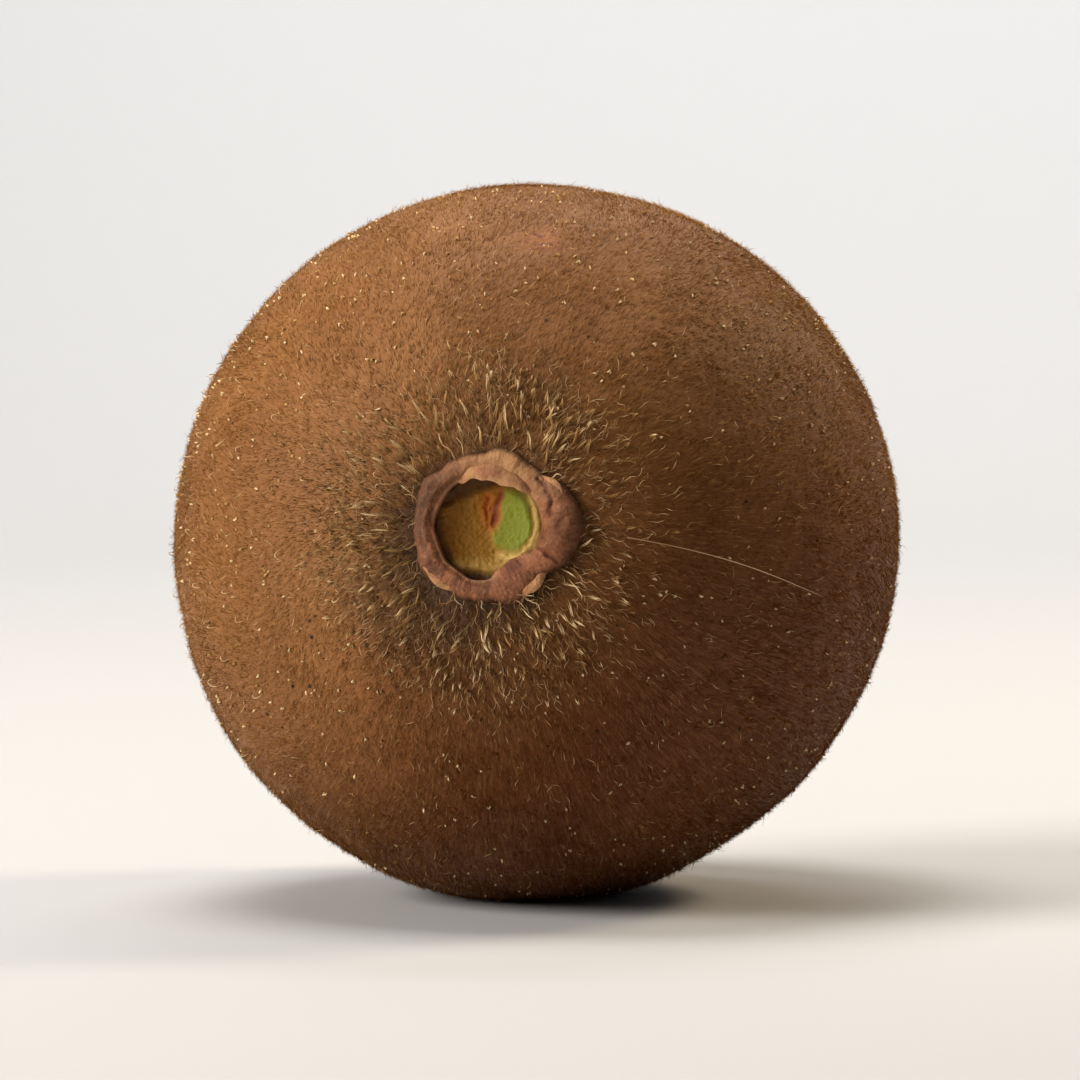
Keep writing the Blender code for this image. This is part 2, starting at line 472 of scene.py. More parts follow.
def streaks(tree, place, way_round, lines, waver):
    """Fine lines that run from the stem end along the skin, as its nap does.

    Noise is read at the way round the axis, enlarged, and at the place, so that it
    changes fast across the lines and slowly along them.
    """
    wide = vector_maths(tree, "SCALE", way_round, lines)
    slow = vector_maths(tree, "SCALE", place, waver)
    return [noise(tree, vector_maths(tree, "ADD", wide, slow), 1.0, 3.0, 0.6)]


FRUIT_PLACE = new_group("fruit_place", [], ["Place", "From axis", "Along", "Way round"], fruit_place)
SPECKS = new_group("specks", ["Place", "Per mm", "Radius mm", "Share"], ["Mask"], specks)
STREAKS = new_group("streaks", ["Place", "Way round", "Lines", "Waver"], ["Value"], streaks)


def new_finish(name, **constants):
    """A material with its Principled shader's plain values set, and its tree."""
    made = bpy.data.materials.new(name)
    made.use_nodes = True
    for key, value in constants.items():
        made.node_tree.nodes["Principled BSDF"].inputs[key.replace("_", " ")].default_value = value
    return made, made.node_tree


def finished(made, colour, height=None, depth=0.0, roughness=None):
    """The material, its shader fed with a colour, a height in units of depth, and roughness."""
    tree = made.node_tree
    bump = {"Height": height, "Distance": depth, "Strength": 1.0}
    normal = None if height is None else add(tree, "ShaderNodeBump", bump).outputs[0]
    fed = {"Base Color": colour, "Normal": normal, "Roughness": roughness}
    for key, socket in fed.items():
        if socket is not None:
            tree.links.new(socket, tree.nodes["Principled BSDF"].inputs[key])
    return made


def collar_ground_shade(tree, place):
    """1 on the dark grey-brown ground round the collar, more to its left and below: a greyer skin with
    painted shade of the hollow and of the bristles over it.
    """
    parts = add(tree, "ShaderNodeSeparateXYZ", {0: place["Place"]}).outputs
    lean = added(tree, parts["X"], parts["Y"])
    ragged = noise(tree, place["Place"], 0.45, 4.0, 0.7)
    near = added(tree, place["From axis"], (lean, 0.22), (ragged, 6.0))
    near = fade(tree, near, 6.5, 12.5, 1.0, 0.0)
    return masked(tree, near, fade(tree, place["Along"], 10.0, 20.0))


def blossom_ground(tree, place):
    """1 on the blackish ground round the dried styles."""
    ragged = noise(tree, place["Place"], 0.5, 4.0, 0.7)
    near = fade(tree, added(tree, place["From axis"], (ragged, 4.0)), 4.2, 8.5, 1.0, 0.0)
    return masked(tree, near, fade(tree, place["Along"], -20.0, -10.0, 1.0, 0.0))


def shaded_side_paint(tree, place):
    """Painted shade: 1 on the lower right side as the stem end is seen, which is painted a deeper brown.
    """
    lean = vector_maths(tree, "DOT_PRODUCT", place["Place"], (0.55, -0.80, 0.10))
    ragged = noise(tree, place["Place"], 0.08, 3.0)
    return fade(tree, added(tree, lean, (ragged, 14.0)), 4.0, 32.0)


def skin_finish():
    """Brown leathery skin: mottled, faintly streaked, with pale dots and dark pits."""
    plain = {"Roughness": 0.6, "Specular_IOR_Level": 0.2, "Sheen_Weight": 0.06}
    made, tree = new_finish("skin", **plain, Sheen_Tint=linear(214, 160, 100))
    place = placed(tree, FRUIT_PLACE)
    at = place["Place"]
    broad = fade(tree, noise(tree, at, 0.07, 4.0, 0.55), 0.30, 0.70, 0.2, 0.8)
    lines = placed(tree, STREAKS, at, place["Way round"], 110.0, 0.35)[0]
    fine, rough = noise(tree, at, 2.4, 3.0, 0.65), noise(tree, at, 4.5, 3.0, 0.6)
    pale = placed(tree, SPECKS, at, 0.75, 0.16, 0.5)[0]
    pits = placed(tree, SPECKS, at, 0.5, 0.17, 0.35)[0]
    crusts = fade(tree, noise(tree, at, 1.6, 2.0), 0.52, 0.62)
    crusts = masked(tree, crusts, fade(tree, mark(tree, "scab"), 0.2, 0.6))
    colour = painted(
        tree, mixed(tree, broad, BROWN_DEEP, BROWN_WARM),
        # Painted shade: the lower right side made a deeper brown.
        (shaded_side_paint(tree, place), SHADE_BROWN, 0.85),
        (fade(tree, lines, 0.45, 0.75), BROWN_PALE, 0.35),
        (fade(tree, fine, 0.5, 0.75), BROWN_DARK, 0.28),
        # Painted shade in the hollow round the collar, among the bristles.
        (collar_ground_shade(tree, place), GROUND_GREY_AND_SHADE, 0.9),
        (blossom_ground(tree, place), BLOSSOM_GROUND, 0.92),
        (pale, STRAW, 0.55), (pits, PIT_BROWN, 0.8),
        ("scab", SCAB_TINT, 0.4), (crusts, SCAB_RED, 0.8),
    )
    height = added(tree, (fine, 1.4), rough, (lines, 0.8), (pits, -1.5))
    return finished(made, colour, height, FINE_BUMP, fade(tree, fine, 0.3, 0.7, 0.5, 0.72))


def hair_finish(name, root, tip, pale, from_tone, collar_shade=0.3):
    """Hairs that lighten from root to tip, each of its own tone, pale from this tone up.

    The last argument is how much of the ground's grey and painted shade they take on round the collar.
    """
    made, tree = new_finish(name, Roughness=0.7, Specular_IOR_Level=0.0)
    tone, up = mark(tree, "tone"), mark(tree, "up_hair")
    place = placed(tree, FRUIT_PLACE)
    patch = fade(tree, noise(tree, place["Place"], 0.11, 3.0), 0.35, 0.65, -0.15, 0.15)
    mix = fade(tree, added(tree, (up, 0.6), (tone, 0.5), patch), 0.0, 1.1)
    pale_hair = masked(tree, fade(tree, tone, from_tone, from_tone + 0.05), fade(tree, up, 0.1, 0.7))
    return finished(made, painted(
        tree, mixed(tree, mix, root, tip),
        # Painted shade: the lower right side made a deeper brown.
        (shaded_side_paint(tree, place), SHADE_BROWN, 0.85), (pale_hair, pale, 0.9),
        # Painted shade on the hairs in the hollow round the collar.
        (collar_ground_shade(tree, place), GROUND_GREY_AND_SHADE, collar_shade),
    ))


def scar_finish():
    """Moist plant tissue: a green pad with a cream rim and a red-brown streak in olive."""
    made, tree = new_finish("stalk scar", Roughness=0.5, Specular_IOR_Level=0.2)
    at = placed(tree, FRUIT_PLACE)["Place"]
    parts = add(tree, "ShaderNodeSeparateXYZ", {0: at}).outputs
    fibres, grain = noise(tree, at, 3.2, 4.0, 0.65), noise(tree, at, 9.0, 3.0, 0.6)
    side = fade(tree, added(tree, parts["X"], (fibres, 2.0)), -2.6, 1.6)
    low = fade(tree, added(tree, parts["Y"], fibres), -2.4, -1.2, 1.0, 0.0)
    colour = painted(
        tree, mixed(tree, side, OLIVE_DEEP, OLIVE),
        (low, CREAM, 0.35), ("pad", PAD_GREEN, 1.0), ("rim", CREAM, 0.9),
        ("tint", STREAK_TINT, 0.75), ("streak", STREAK_RED, 0.95),
        # Painted shade in the crevice round the edge and under the arch.
        (fade(tree, grain, 0.5, 0.8), OLIVE_DEEP, 0.35), ("shaded_crevice", CREVICE_SHADE, 0.95),
    )
    rough = fade(tree, fibres, 0.3, 0.7, 0.35, 0.6)
    return finished(made, colour, added(tree, fibres, grain), FINE_BUMP, rough)


def collar_finish(name, base, patch):
    """Dry wrinkled tissue: paler ridges and a pale lip painted as highlights, and painted shade in the
    hollows, in the creases of the folds and at the foot.
    """
    made, tree = new_finish(name, Roughness=0.6, Specular_IOR_Level=0.25)
    place = placed(tree, FRUIT_PLACE)
    at = place["Place"]
    broad = fade(tree, noise(tree, at, 0.55, 3.0, 0.6), 0.35, 0.65)
    flakes, grain = noise(tree, at, 3.5, 4.0, 0.7), noise(tree, at, 9.0, 3.0, 0.6)
    lines = placed(tree, STREAKS, at, place["Way round"], 26.0, 0.9)[0]
    colour = painted(
        tree, mixed(tree, broad, base, patch),
        # Painted highlight on the wrinkles' ridges and painted shade in their hollows, from the noise of
        # their bump.
        (fade(tree, flakes, 0.52, 0.72), LIP_PALE, 0.45),
        (fade(tree, flakes, 0.28, 0.46, 1.0, 0.0), FOLD_MAUVE, 0.6),
        (fade(tree, lines, 0.3, 0.45, 1.0, 0.0), COLLAR_BROWN, 0.35),
        # Painted highlight along the collar's lip.
        ("paper", PAPER, 0.8), ("curl", COLLAR_BROWN, 0.7), ("pale_lip_and_highlight", LIP_PALE, 0.6),
        # Painted shade in the fold creases and at the collar's foot.
        ("shaded_fold", FOLD_MAUVE, 0.85), ("foot_shade_and_dark_left", GROUND_GREY_AND_SHADE, 0.7),
    )
    height = added(tree, flakes, (lines, 0.3), (grain, 0.6))
    return finished(made, colour, height, WRINKLE_BUMP, fade(tree, flakes, 0.3, 0.7, 0.7, 0.34))


def style_finish():
    """Dead, crumbling tissue: nearly black, with browner crumbs."""
    made, tree = new_finish("dried styles", Roughness=0.7, Specular_IOR_Level=0.25)
    crumbs = noise(tree, placed(tree, FRUIT_PLACE)["Place"], 5.0, 4.0, 0.7)
    brown = fade(tree, added(tree, crumbs, (mark(tree, "up_hair"), 0.22)), 0.48, 0.78)
    return finished(made, mixed(tree, brown, STYLE_BLACK, STYLE_BROWN), crumbs, CRUMB_BUMP)


# The skin

SKIN_ROWS, SKIN_COLUMNS = 262, 336
CROWDING = 0.35  # rows lie closer at the two ends
UNDER_SCAR = 0.0011  # the skin falls away by this under the scar


def relief(points):
    """How far the real skin stands off the smooth one.

    Broad swells and small dents, and folds that run in to the collar and, deeper, to the
    crown of styles, as noise read round the axis.
    """
    from_axis = off_axis(points)
    ring = unit(points * [1, 1, 0])
    stem = points[..., 2] > 0
    broad = 0.10 * waves(points, 0.017, seed=3) + 0.03 * waves(points, 0.0045, seed=4, count=40)
    stem_folds = 0.09 * waves(ring, 0.45, seed=5) * bell(from_axis - 6.6 * MM, 2.2 * MM)
    blossom_folds = 0.16 * waves(ring, 0.55, seed=6) * bell(from_axis - 3.6 * MM, 1.9 * MM)
    smooth_scar = np.where(stem, smooth(from_axis, 4 * MM, 12 * MM), 1.0)
    return MM * (broad * smooth_scar + np.where(stem, stem_folds, blossom_folds))


def dressed(angle, turn, lift=0.0):
    """A point of the skin with its relief, raised by lift."""
    return raised(angle, turn, relief(skin_point(angle, turn)) + lift)


def make_skin():
    even = np.linspace(0, math.pi, SKIN_ROWS)
    angle, turn = grid_of(even - CROWDING * np.sin(2 * even), round_turns(SKIN_COLUMNS))
    smooth_skin = skin_point(angle, turn)
    under = 1 - smooth(off_axis(smooth_skin), 0.9 * SCAR_RADIUS, 1.15 * SCAR_RADIUS)
    at_scab = skin_point(*seen_at([SCAB]))
    off_scab = (smooth_skin - at_scab) + 0.4 * MM * waves(smooth_skin, 1.2 * MM, seed=8)[..., None]
    scab = bell(np.linalg.norm(off_scab, axis=-1), 1.6 * MM)
    lift = 0.12 * MM * scab - np.where(np.cos(angle) > 0, UNDER_SCAR * under, 0)
    grid = dressed(angle, turn, lift)
    piece = add_closed("skin", grid, skin_finish(), {"scab": scab})
    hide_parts("fruit")


SPOT_ROWS, SPOT_COLUMNS, MORE_SPOTS = 7, 12, 150


def make_spots():
    """Small dark corky spots, each a low flattened dome sunk in the skin.

    Six are where they are seen on the lower left, and the rest are scattered.
    """
    angle, turn = seen_at(DARK_DOTS)
    more, more_turns = scatter(MORE_SPOTS, 45, lambda angle, turn, points: off_floor(angle, turn) * 1.0)
    angle, turn = np.concatenate([angle, more]), np.concatenate([turn, more_turns])
    draw = np.random.default_rng(46)
    size = draw.uniform(0.10, 0.19, len(angle)) * MM
    size[:len(DARK_DOTS)] = 0.19 * MM
    along, around, out = (way[:, None, None] for way in skin_ways(angle, turn))
    polar = np.linspace(0, math.pi, SPOT_ROWS)[:, None, None]
    corner = round_turns(SPOT_COLUMNS)[:, None]
    ball = np.sin(polar) * (along * np.cos(corner) + around * np.sin(corner) * 0.8)
    ball = ball + 0.35 * np.cos(polar) * out
    domes = dressed(angle, turn)[:, None, None] + ball * size[:, None, None, None]
    points, faces = zip(*(capped_grid(dome) for dome in domes))
    per_spot = len(points[0])
    faces = [[corner + number * per_spot for corner in face]
             for number, spot in enumerate(faces) for face in spot]
    add_piece("dark_spots", lay_down(np.concatenate(points)), faces, style_finish())


# The stem end

SCAR_ROWS, SCAR_UNDER_ROWS, SCAR_COLUMNS = 110, 8, 220
SCAR_EDGE = 0.0041  # the scar goes on to here under the collar
SCAR_UNDERSIDE = 0.0009
PAD_MIDDLE, PAD_HALF = (0.45, 0.13), (0.50, 0.70)  # in scar radii, as are the streaks
STREAK = [(0.23, 0.64), (0.05, 0.07)]
STREAK_PRONG = [(-0.05, 0.57), (-0.02, 0.14)]


def scar_form(x, y):
    """The scar's height in millimetres and its marks, at places in scar radii.

    The pad is a low dome on an ellipse, with a raised rim along its lower right side. The
    streaks are grooves along straight stretches, and the crevice a moat at the edge, deep on
    the left and below and painted dark as shade, with a painted shadow along the top under
    the papery arch. Fine fibres run as noise over all of it.
    """
    reach = np.hypot(x, y)
    place = on_plane(x, y)
    wander = 0.05 * waves(place, 0.5, seed=31)
    pad_x, pad_y = (x - PAD_MIDDLE[0]) / PAD_HALF[0], (y - PAD_MIDDLE[1]) / PAD_HALF[1]
    off_pad = np.hypot(pad_x, pad_y) + wander
    pad = 1 - smooth(off_pad, 0.80, 1.0)
    right_side = smooth(np.cos(np.arctan2(pad_y, pad_x) + 0.60), -0.15, 0.4)
    rim = bell(off_pad - 1.04, 0.11) * right_side
    streak = off_line(x + wander * 0.6, y, *STREAK)
    prong = off_line(x + wander * 0.6, y, *STREAK_PRONG)
    groove = np.maximum(bell(streak, 0.085), 0.45 * bell(prong, 0.05))
    tint = np.maximum(bell(streak + 0.12 * (x > 0.25), 0.17), bell(prong, 0.15))
    lower_left = smooth(-0.75 * x - 0.65 * y, -0.45, 0.5)
    shaded_crevice = smooth(reach + wander, 0.84, 0.99) * (0.35 + 0.65 * lower_left)
    # Painted shadow along the top, under the papery arch.
    shaded_crevice = np.maximum(shaded_crevice, 0.85 * smooth(y - 0.25 * x + wander, 0.66, 0.88))
    fibres = waves(place, 0.22, seed=32) + 0.7 * waves(place, 0.09, seed=33, count=60)
    height = 0.30 * pad * (1.1 - 0.35 * off_pad**2) + 0.16 * rim - 0.26 * groove
    height += 0.028 * fibres * (1 - 0.5 * pad) - 0.42 * shaded_crevice + 0.12
    marks = {"pad": pad, "rim": rim, "streak": groove, "tint": tint, "shaded_crevice": shaded_crevice}
    return height, marks


def make_scar():
    """The stalk's scar: a round pane whose top has its relief and whose underside is hidden."""
    reach = np.concatenate([np.linspace(0, 1, SCAR_ROWS), np.linspace(1, 0, SCAR_UNDER_ROWS)[1:]])
    under = np.arange(len(reach)) >= SCAR_ROWS
    reach, turn = grid_of(reach, round_turns(SCAR_COLUMNS))
    radius = reach * SCAR_EDGE
    x, y = radius * np.cos(turn) / SCAR_RADIUS, radius * np.sin(turn) / SCAR_RADIUS
    height, marks = scar_form(x, y)
    lift = np.where(under[:, None], -SCAR_UNDERSIDE, height * MM)
    add_closed("stalk_scar", raised(angle_at(radius), turn, lift), scar_finish(), marks)


COLLAR_COLUMNS, COLLAR_SIDES = 600, 52
CURLED_SEPAL, CURLED_SEPAL_SIZE = (5.2, -0.1), 1.35  # in millimetres from the axis, as are the folds
FOLDS = [
    [(3.7, 3.5), (4.4, 2.7), (4.75, 1.7), (4.7, 0.7)],
    [(3.6, -1.3), (4.4, -1.7), (5.1, -2.5)],
    [(3.95, 0.5), (4.15, -0.8)],
]
WAXY_TURN, WAXY_HALF_TURN, WAXY_REACH = math.radians(-58), math.radians(21), 0.0008


def collar_form(turn, section):
    """Radius, lift and marks of the collar at turns and at angles round its section.

    The section is a low arch over a foot that sinks into the skin, with a lip on its inner
    shoulder. The outer edge reaches out at each sepal, and most at the curled one, which
    is a swelling between folds. Wrinkles run along the collar on the left, and puckers
    across it.
    """
    ring = ring_at(turn)
    sepal = np.cos(SEPALS * (turn - CURL_TURN)).clip(0)
    curl = bell(wrapped(turn - CURL_TURN) ** 2, (1.15 * CURL_HALF_TURN) ** 2)
    waxy = bell(wrapped(turn - WAXY_TURN), WAXY_HALF_TURN)
    outer = COLLAR_OUTER + SEPAL_REACH * sepal + CURL_REACH * curl
    outer = outer + 0.09 * MM * waves(ring, 0.40, seed=41) + 0.02 * MM * waves(ring, 0.08, seed=42)
    inner = COLLAR_INNER - WAXY_REACH * waxy + 0.07 * MM * waves(ring, 0.4, seed=43)
    across = (1 + np.cos(section)) / 2
    radius = inner + (outer - inner) * across
    x, y = radius * np.cos(turn) / MM, radius * np.sin(turn) / MM
    top = smooth(np.sin(section), 0.0, 0.55)
    inner_shoulder = bell(section - math.radians(146), math.radians(11))
    swelling = bell(np.hypot(x - CURLED_SEPAL[0], (y - CURLED_SEPAL[1]) / 1.25), CURLED_SEPAL_SIZE)
    place = on_plane(x, y)
    bent = 0.12 * waves(place, 1.4, seed=48)
    stretches = [line[i : i + 2] for line in FOLDS for i in range(len(line) - 1)]
    shaded_fold = np.max([bell(off_line(x + bent, y + bent, *stretch), 0.15) for stretch in stretches], 0)
    left = bell(wrapped(turn - math.radians(190)), math.radians(75))
    wrinkles = left * np.cos(across * 2.8 * math.tau + 1.5 * waves(ring, 1.2, seed=44))
    puckers = waves(ring, 0.16, seed=45, count=60)
    lumps = waves(place, 1.5, seed=46, count=40) + 0.5 * waves(place, 0.5, seed=47, count=60)
    arch = np.sin(section)
    height = (COLLAR_HEIGHT + CURL_RISE * curl) / MM * arch.clip(0) + 0.5 * arch.clip(-1, 0)
    rough = 0.035 * wrinkles + 0.006 * puckers + (0.045 + 0.075 * swelling) * lumps
    height += top * (0.38 * swelling - 0.24 * shaded_fold + rough)
    height += 0.14 * inner_shoulder + 0.25 * waxy * top * (1 - across)
    paper = bell(wrapped(turn - math.radians(75)), math.radians(40))
    marks = {
        # Paler along the lip of the inner shoulder, partly painted highlight; none on the right or at
        # the waxy fold.
        "pale_lip_and_highlight": inner_shoulder * smooth(wrapped(turn) ** 2, 0.1, 0.5) * (1 - waxy),
        "curl": swelling,
        # Painted shade where the collar's outer foot meets the skin, and darker across its left side.
        "foot_shade_and_dark_left": np.maximum(
            0.8 * smooth(across, 0.78, 0.96) * (1 - 0.5 * swelling),
            0.85 * smooth(across, 0.30, 0.72) * bell(wrapped(turn - math.radians(166)), 0.9),
        ),
        "paper": paper * (0.4 + 0.6 * top),
        # Painted shade in the creases of the folds, and the waxy fold's own mauve.
        "shaded_fold": np.maximum(0.8 * shaded_fold * top, waxy**2 * bell(across - 0.25, 0.16)),
    }
    return radius, height * MM, marks


def make_collar():
    section, turn = grid_of(-round_turns(COLLAR_SIDES), round_turns(COLLAR_COLUMNS))
    radius, lift, marks = collar_form(turn, wrapped(section))
    points = lay_down(raised(angle_at(radius), turn, lift))
    faces = sheet_faces(COLLAR_SIDES, COLLAR_COLUMNS, close=True).tolist()
    finish = collar_finish("dry collar", COLLAR_TAN, COLLAR_BROWN)
    piece = add_piece("dry_collar", points, faces, finish, marks)
    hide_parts("calyx")


def band(path, across, out, half_width, half_depth, columns):
    """Rings of a flat tube along a path, closed to a point at both ends.

    A ring is an ellipse of half_width across the path and half_depth along out.
    """
    corner = round_turns(columns)[:, None]
    wide = across[:, None] * (np.cos(corner) * half_width[:, None, None])
    deep = out[:, None] * (np.sin(corner) * half_depth[:, None, None])
    return path[:, None] + wide + deep


FLAP_JOINTS, FLAP_SIDES = 90, 28
FLAPS = [
    # first and last turn, distance from the axis, half width, lift, how far the inner edge rises
    ("papery_arch", 34, 124, 4.10, 0.72, 1.30, 0.50),
    ("sepal_left", 128, 168, 4.75, 0.42, 0.80, 0.25),
    ("sepal_right", 6, 44, 5.35, 0.55, 1.15, -0.35),
    ("sepal_lower_right", -66, -34, 5.20, 0.48, 0.85, -0.25),
    ("sepal_lower_left", -160, -112, 5.05, 0.45, 0.75, -0.25),
]


def make_flaps():
    """Thin dry remains of the sepals, each a waved band that lies round part of the collar.

    The band's middle follows a turn round the axis and lifts off the collar, its width and
    thickness fall to nothing at both ends as a square root, and it tilts about its middle.
    """
    finish = collar_finish("dry sepals", PAPER, COLLAR_TAN)
    for number, (name, first, last, from_axis, half_width, lift, tilt) in enumerate(FLAPS):
        share = np.linspace(0, 1, FLAP_JOINTS)
        turn = np.radians(first + (last - first) * share)
        ring = ring_at(turn)
        rise = np.sin(share * math.pi)
        reach = from_axis + 0.16 * waves(ring, 0.5, seed=60 + number)
        height = lift * (0.55 + 0.45 * rise) + 0.06 * waves(ring, 0.30, seed=70 + number)
        angle = angle_at(reach * MM)
        middle = raised(angle, turn, height * MM)
        along, _, out = skin_ways(angle, turn)
        lean = tilt + 0.08 * waves(ring, 0.4, seed=80 + number)
        across = unit(along - out * lean[:, None])
        up = unit(out + along * lean[:, None])
        taper = np.sqrt(rise.clip(0))
        width = half_width * taper * (1 + 0.12 * waves(ring, 0.3, seed=90 + number))
        grid = band(middle, across, up, width * MM, 0.07 * MM * taper, FLAP_SIDES)
        edge = np.abs(np.cos(round_turns(FLAP_SIDES)))[None] * np.ones((FLAP_JOINTS, 1))
        swell = 0.03 * waves(grid, 1.1 * MM, seed=100 + number) - 0.22 * edge**2 * taper[:, None]
        grid = grid + up[:, None] * (swell * MM)[..., None]
        # Paler along the edges, on the mark of the collar's painted lip highlight.
        marks = {"paper": 0.4 * edge, "pale_lip_and_highlight": 0.6 * smooth(edge, 0.85, 1.0)}
        marks |= {key: 0 * edge for key in ("shaded_fold", "curl", "foot_shade_and_dark_left")}
        add_closed(name, grid, finish, marks)


# The blossom end

HUB_ROWS, HUB_COLUMNS = 40, 96
STYLES, FILAMENTS = 26, 70


def make_hub():
    """The crumbling base of the styles: a low mound in the pit, its underside sunk in the skin."""
    reach = np.concatenate([np.linspace(0, 1, HUB_ROWS), [0.6, 0.0]])
    under = np.arange(len(reach)) >= HUB_ROWS
    reach, turn = grid_of(reach, -round_turns(HUB_COLUMNS))
    radius = reach * HUB_RADIUS * 1.25
    place = on_plane(radius * np.cos(turn), radius * np.sin(turn))
    crumbs = 0.16 * waves(place, 0.9 * MM, seed=51) + 0.10 * waves(place, 0.35 * MM, seed=52)
    height = (0.95 * np.sqrt((1 - reach**2).clip(0)) - 0.15 + crumbs * (1 - reach**6)) * MM
    lift = np.where(under[:, None], -0.5 * MM, height)
    grid = raised(math.pi - angle_at(radius), turn, lift)
    piece = add_closed("style_base", grid, style_finish())
    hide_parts("dried_styles")


def make_styles():
    """The dried styles and, between them, the thin filaments of the stamens."""
    for name, count, length, thick, radius, joints, sides, seed in [
        ("styles", STYLES, (1.9, 3.4), (0.42, 0.58), (0.4, 1.7), 12, 8, 55),
        ("filaments", FILAMENTS, (1.0, 2.8), (0.10, 0.17), (0.8, 2.6), 10, 5, 56),
    ]:
        draw = np.random.default_rng(seed)
        turn = wrapped((np.arange(count) + draw.uniform(-0.35, 0.35, count)) / count * math.tau * 5)
        angle = math.pi - angle_at(draw.uniform(*radius, count) * MM)
        grow(
            [name], style_finish(), angle, turn, draw, seed, spread=0.45, rise=(20, 58),
            length=length, bend=(0.0, 0.5), thick=thick, joints=joints, wave=0.10, aim=math.pi,
            sides=sides,
        )


# Hairs

ROOT_DEPTH = 0.00004  # hairs start this far under the skin
FLOOR_GAP = 0.00006  # and stay this far off the floor
FLAT_SPOT = 0.0002  # skin lower than this rests on the floor


def scatter(count, seed, keep):
    """Angles and turns spread evenly over the skin, thinned by keep(), a share of 1.

    Candidates are even on a sphere, and the skin's area for each accepts or drops them.
    """
    draw = np.random.default_rng(seed)
    found, total = [], 0
    while total < count:
        angle = np.arccos(draw.uniform(-1, 1, max(count, 4000)))
        turn = draw.uniform(-math.pi, math.pi, len(angle))
        area = np.linalg.norm(np.cross(*skin_steps(angle, turn)), axis=-1) / np.sin(angle).clip(0.01)
        share = area / (1.3 * (DIAMETER / 2 * 2 * STEP) * (LENGTH / 2 * 2 * STEP))
        points = skin_point(angle, turn)
        chosen = draw.uniform(size=len(angle)) < share * keep(angle, turn, points)
        found.append(np.stack([angle[chosen], turn[chosen]], -1))
        total += int(chosen.sum())
    return np.concatenate(found)[:count].T


def strand_paths(angle, turn, length, rise, heading, bend, joints, wave=0.0, seed=0):
    """Points along each hair, from just under the skin to its tip.

    A hair leaves the skin at its rise, heading off the way from the stem end by an angle,
    and bends back towards the skin with the square of its length. wave is how far it
    swings to each side, as a share of its length, in a sine that grows towards the tip.
    """
    along, around, out = skin_ways(angle, turn)
    flat = along * np.cos(heading)[:, None] + around * np.sin(heading)[:, None]
    start = flat * np.cos(rise)[:, None] + out * np.sin(rise)[:, None]
    share = np.linspace(0, 1, joints)[None, :, None]
    drop = out[:, None] * (bend[:, None, None] * share**2)
    draw = np.random.default_rng(seed + 500)
    phase = draw.uniform(0, math.tau, (len(angle), 1, 1))
    swings = draw.uniform(0.7, 1.6, (len(angle), 1, 1))
    side = np.cross(out, flat)[:, None] * (np.sin(phase + swings * share * math.tau) - np.sin(phase))
    path = start[:, None] * share - drop + side * wave * share
    return dressed(angle, turn, -ROOT_DEPTH)[:, None] + length[:, None, None] * path


def tuft_paths(paths, angle, turn, hairs, spread, seed):
    """Several hairs for each path, whose roots stand apart by spread and whose tips meet."""
    draw = np.random.default_rng(seed)
    along, around, _ = skin_ways(angle, turn)
    apart = draw.normal(0, spread, (len(paths), hairs, 2))
    off = along[:, None] * apart[..., :1] + around[:, None] * apart[..., 1:]
    share = np.linspace(0, 1, paths.shape[1])[:, None]
    gathered = 1 - 0.9 * share + 0.25 * draw.uniform(size=(len(paths), hairs, 1, 1)) * share
    size = 1 - 0.25 * draw.uniform(size=(len(paths), hairs, 1, 1))
    reach = (paths - paths[:, :1])[:, None] * size
    tufts = paths[:, None, :1] + reach + off[:, :, None] * gathered
    return tufts.reshape(-1, *paths.shape[1:])


def strand_mesh(paths, thickness, sides=3):
    """Tapered strands with a point at the tip and a closed root, as points and triangles.

    Each ring is a small polygon across the path, whose radius falls with the square root
    of what is left of the strand.
    """
    count, joints = paths.shape[:2]
    way = unit(np.gradient(paths, axis=1))[:, :-1]
    across = unit(np.cross(way, [0.13, 0.37, 0.92]))
    beside = np.cross(way, across)
    corner = round_turns(sides)[:, None]
    left = np.sqrt(1 - np.linspace(0, 1, joints)[:-1])
    radius = (thickness[:, None] / 2 * left)[..., None, None]
    wheel = across[:, :, None] * np.cos(corner) + beside[:, :, None] * np.sin(corner)
    rings = paths[:, :-1, None] + radius * wheel
    points = np.concatenate([rings.reshape(count, -1, 3), paths[:, -1:]], 1)
    first = np.arange(sides)
    after = (first + 1) % sides
    faces = [[0, i + 1, i] for i in range(1, sides - 1)]
    for low in range(0, (joints - 2) * sides, sides):
        high = low + sides
        faces += np.stack([low + first, low + after, high + first], -1).tolist()
        faces += np.stack([low + after, high + after, high + first], -1).tolist()
    low = (joints - 2) * sides
    tip = np.full(sides, (joints - 1) * sides)
    faces += np.stack([low + first, low + after, tip], -1).tolist()
    shifts = np.arange(count)[:, None, None] * points.shape[1]
    return points, (np.array(faces)[None] + shifts).reshape(-1, 3)


def strand_map(count, joints, sides=3):
    """A cell of a square map for each strand, its root at the bottom and its tip on top."""
    cells = math.ceil(math.sqrt(count))
    cell = np.arange(count)
    corner = np.stack([cell % cells, cell // cells], -1)[:, None] / cells
    side = np.tile(np.linspace(0.2, 0.8, sides), joints - 1)
    ring = np.repeat(np.linspace(0.2, 0.85, joints)[:-1], sides)
    ring[1] -= 0.08
    inside = np.stack([np.append(side, 0.5), np.append(ring, 0.85)], -1)
    return corner + inside[None] / cells


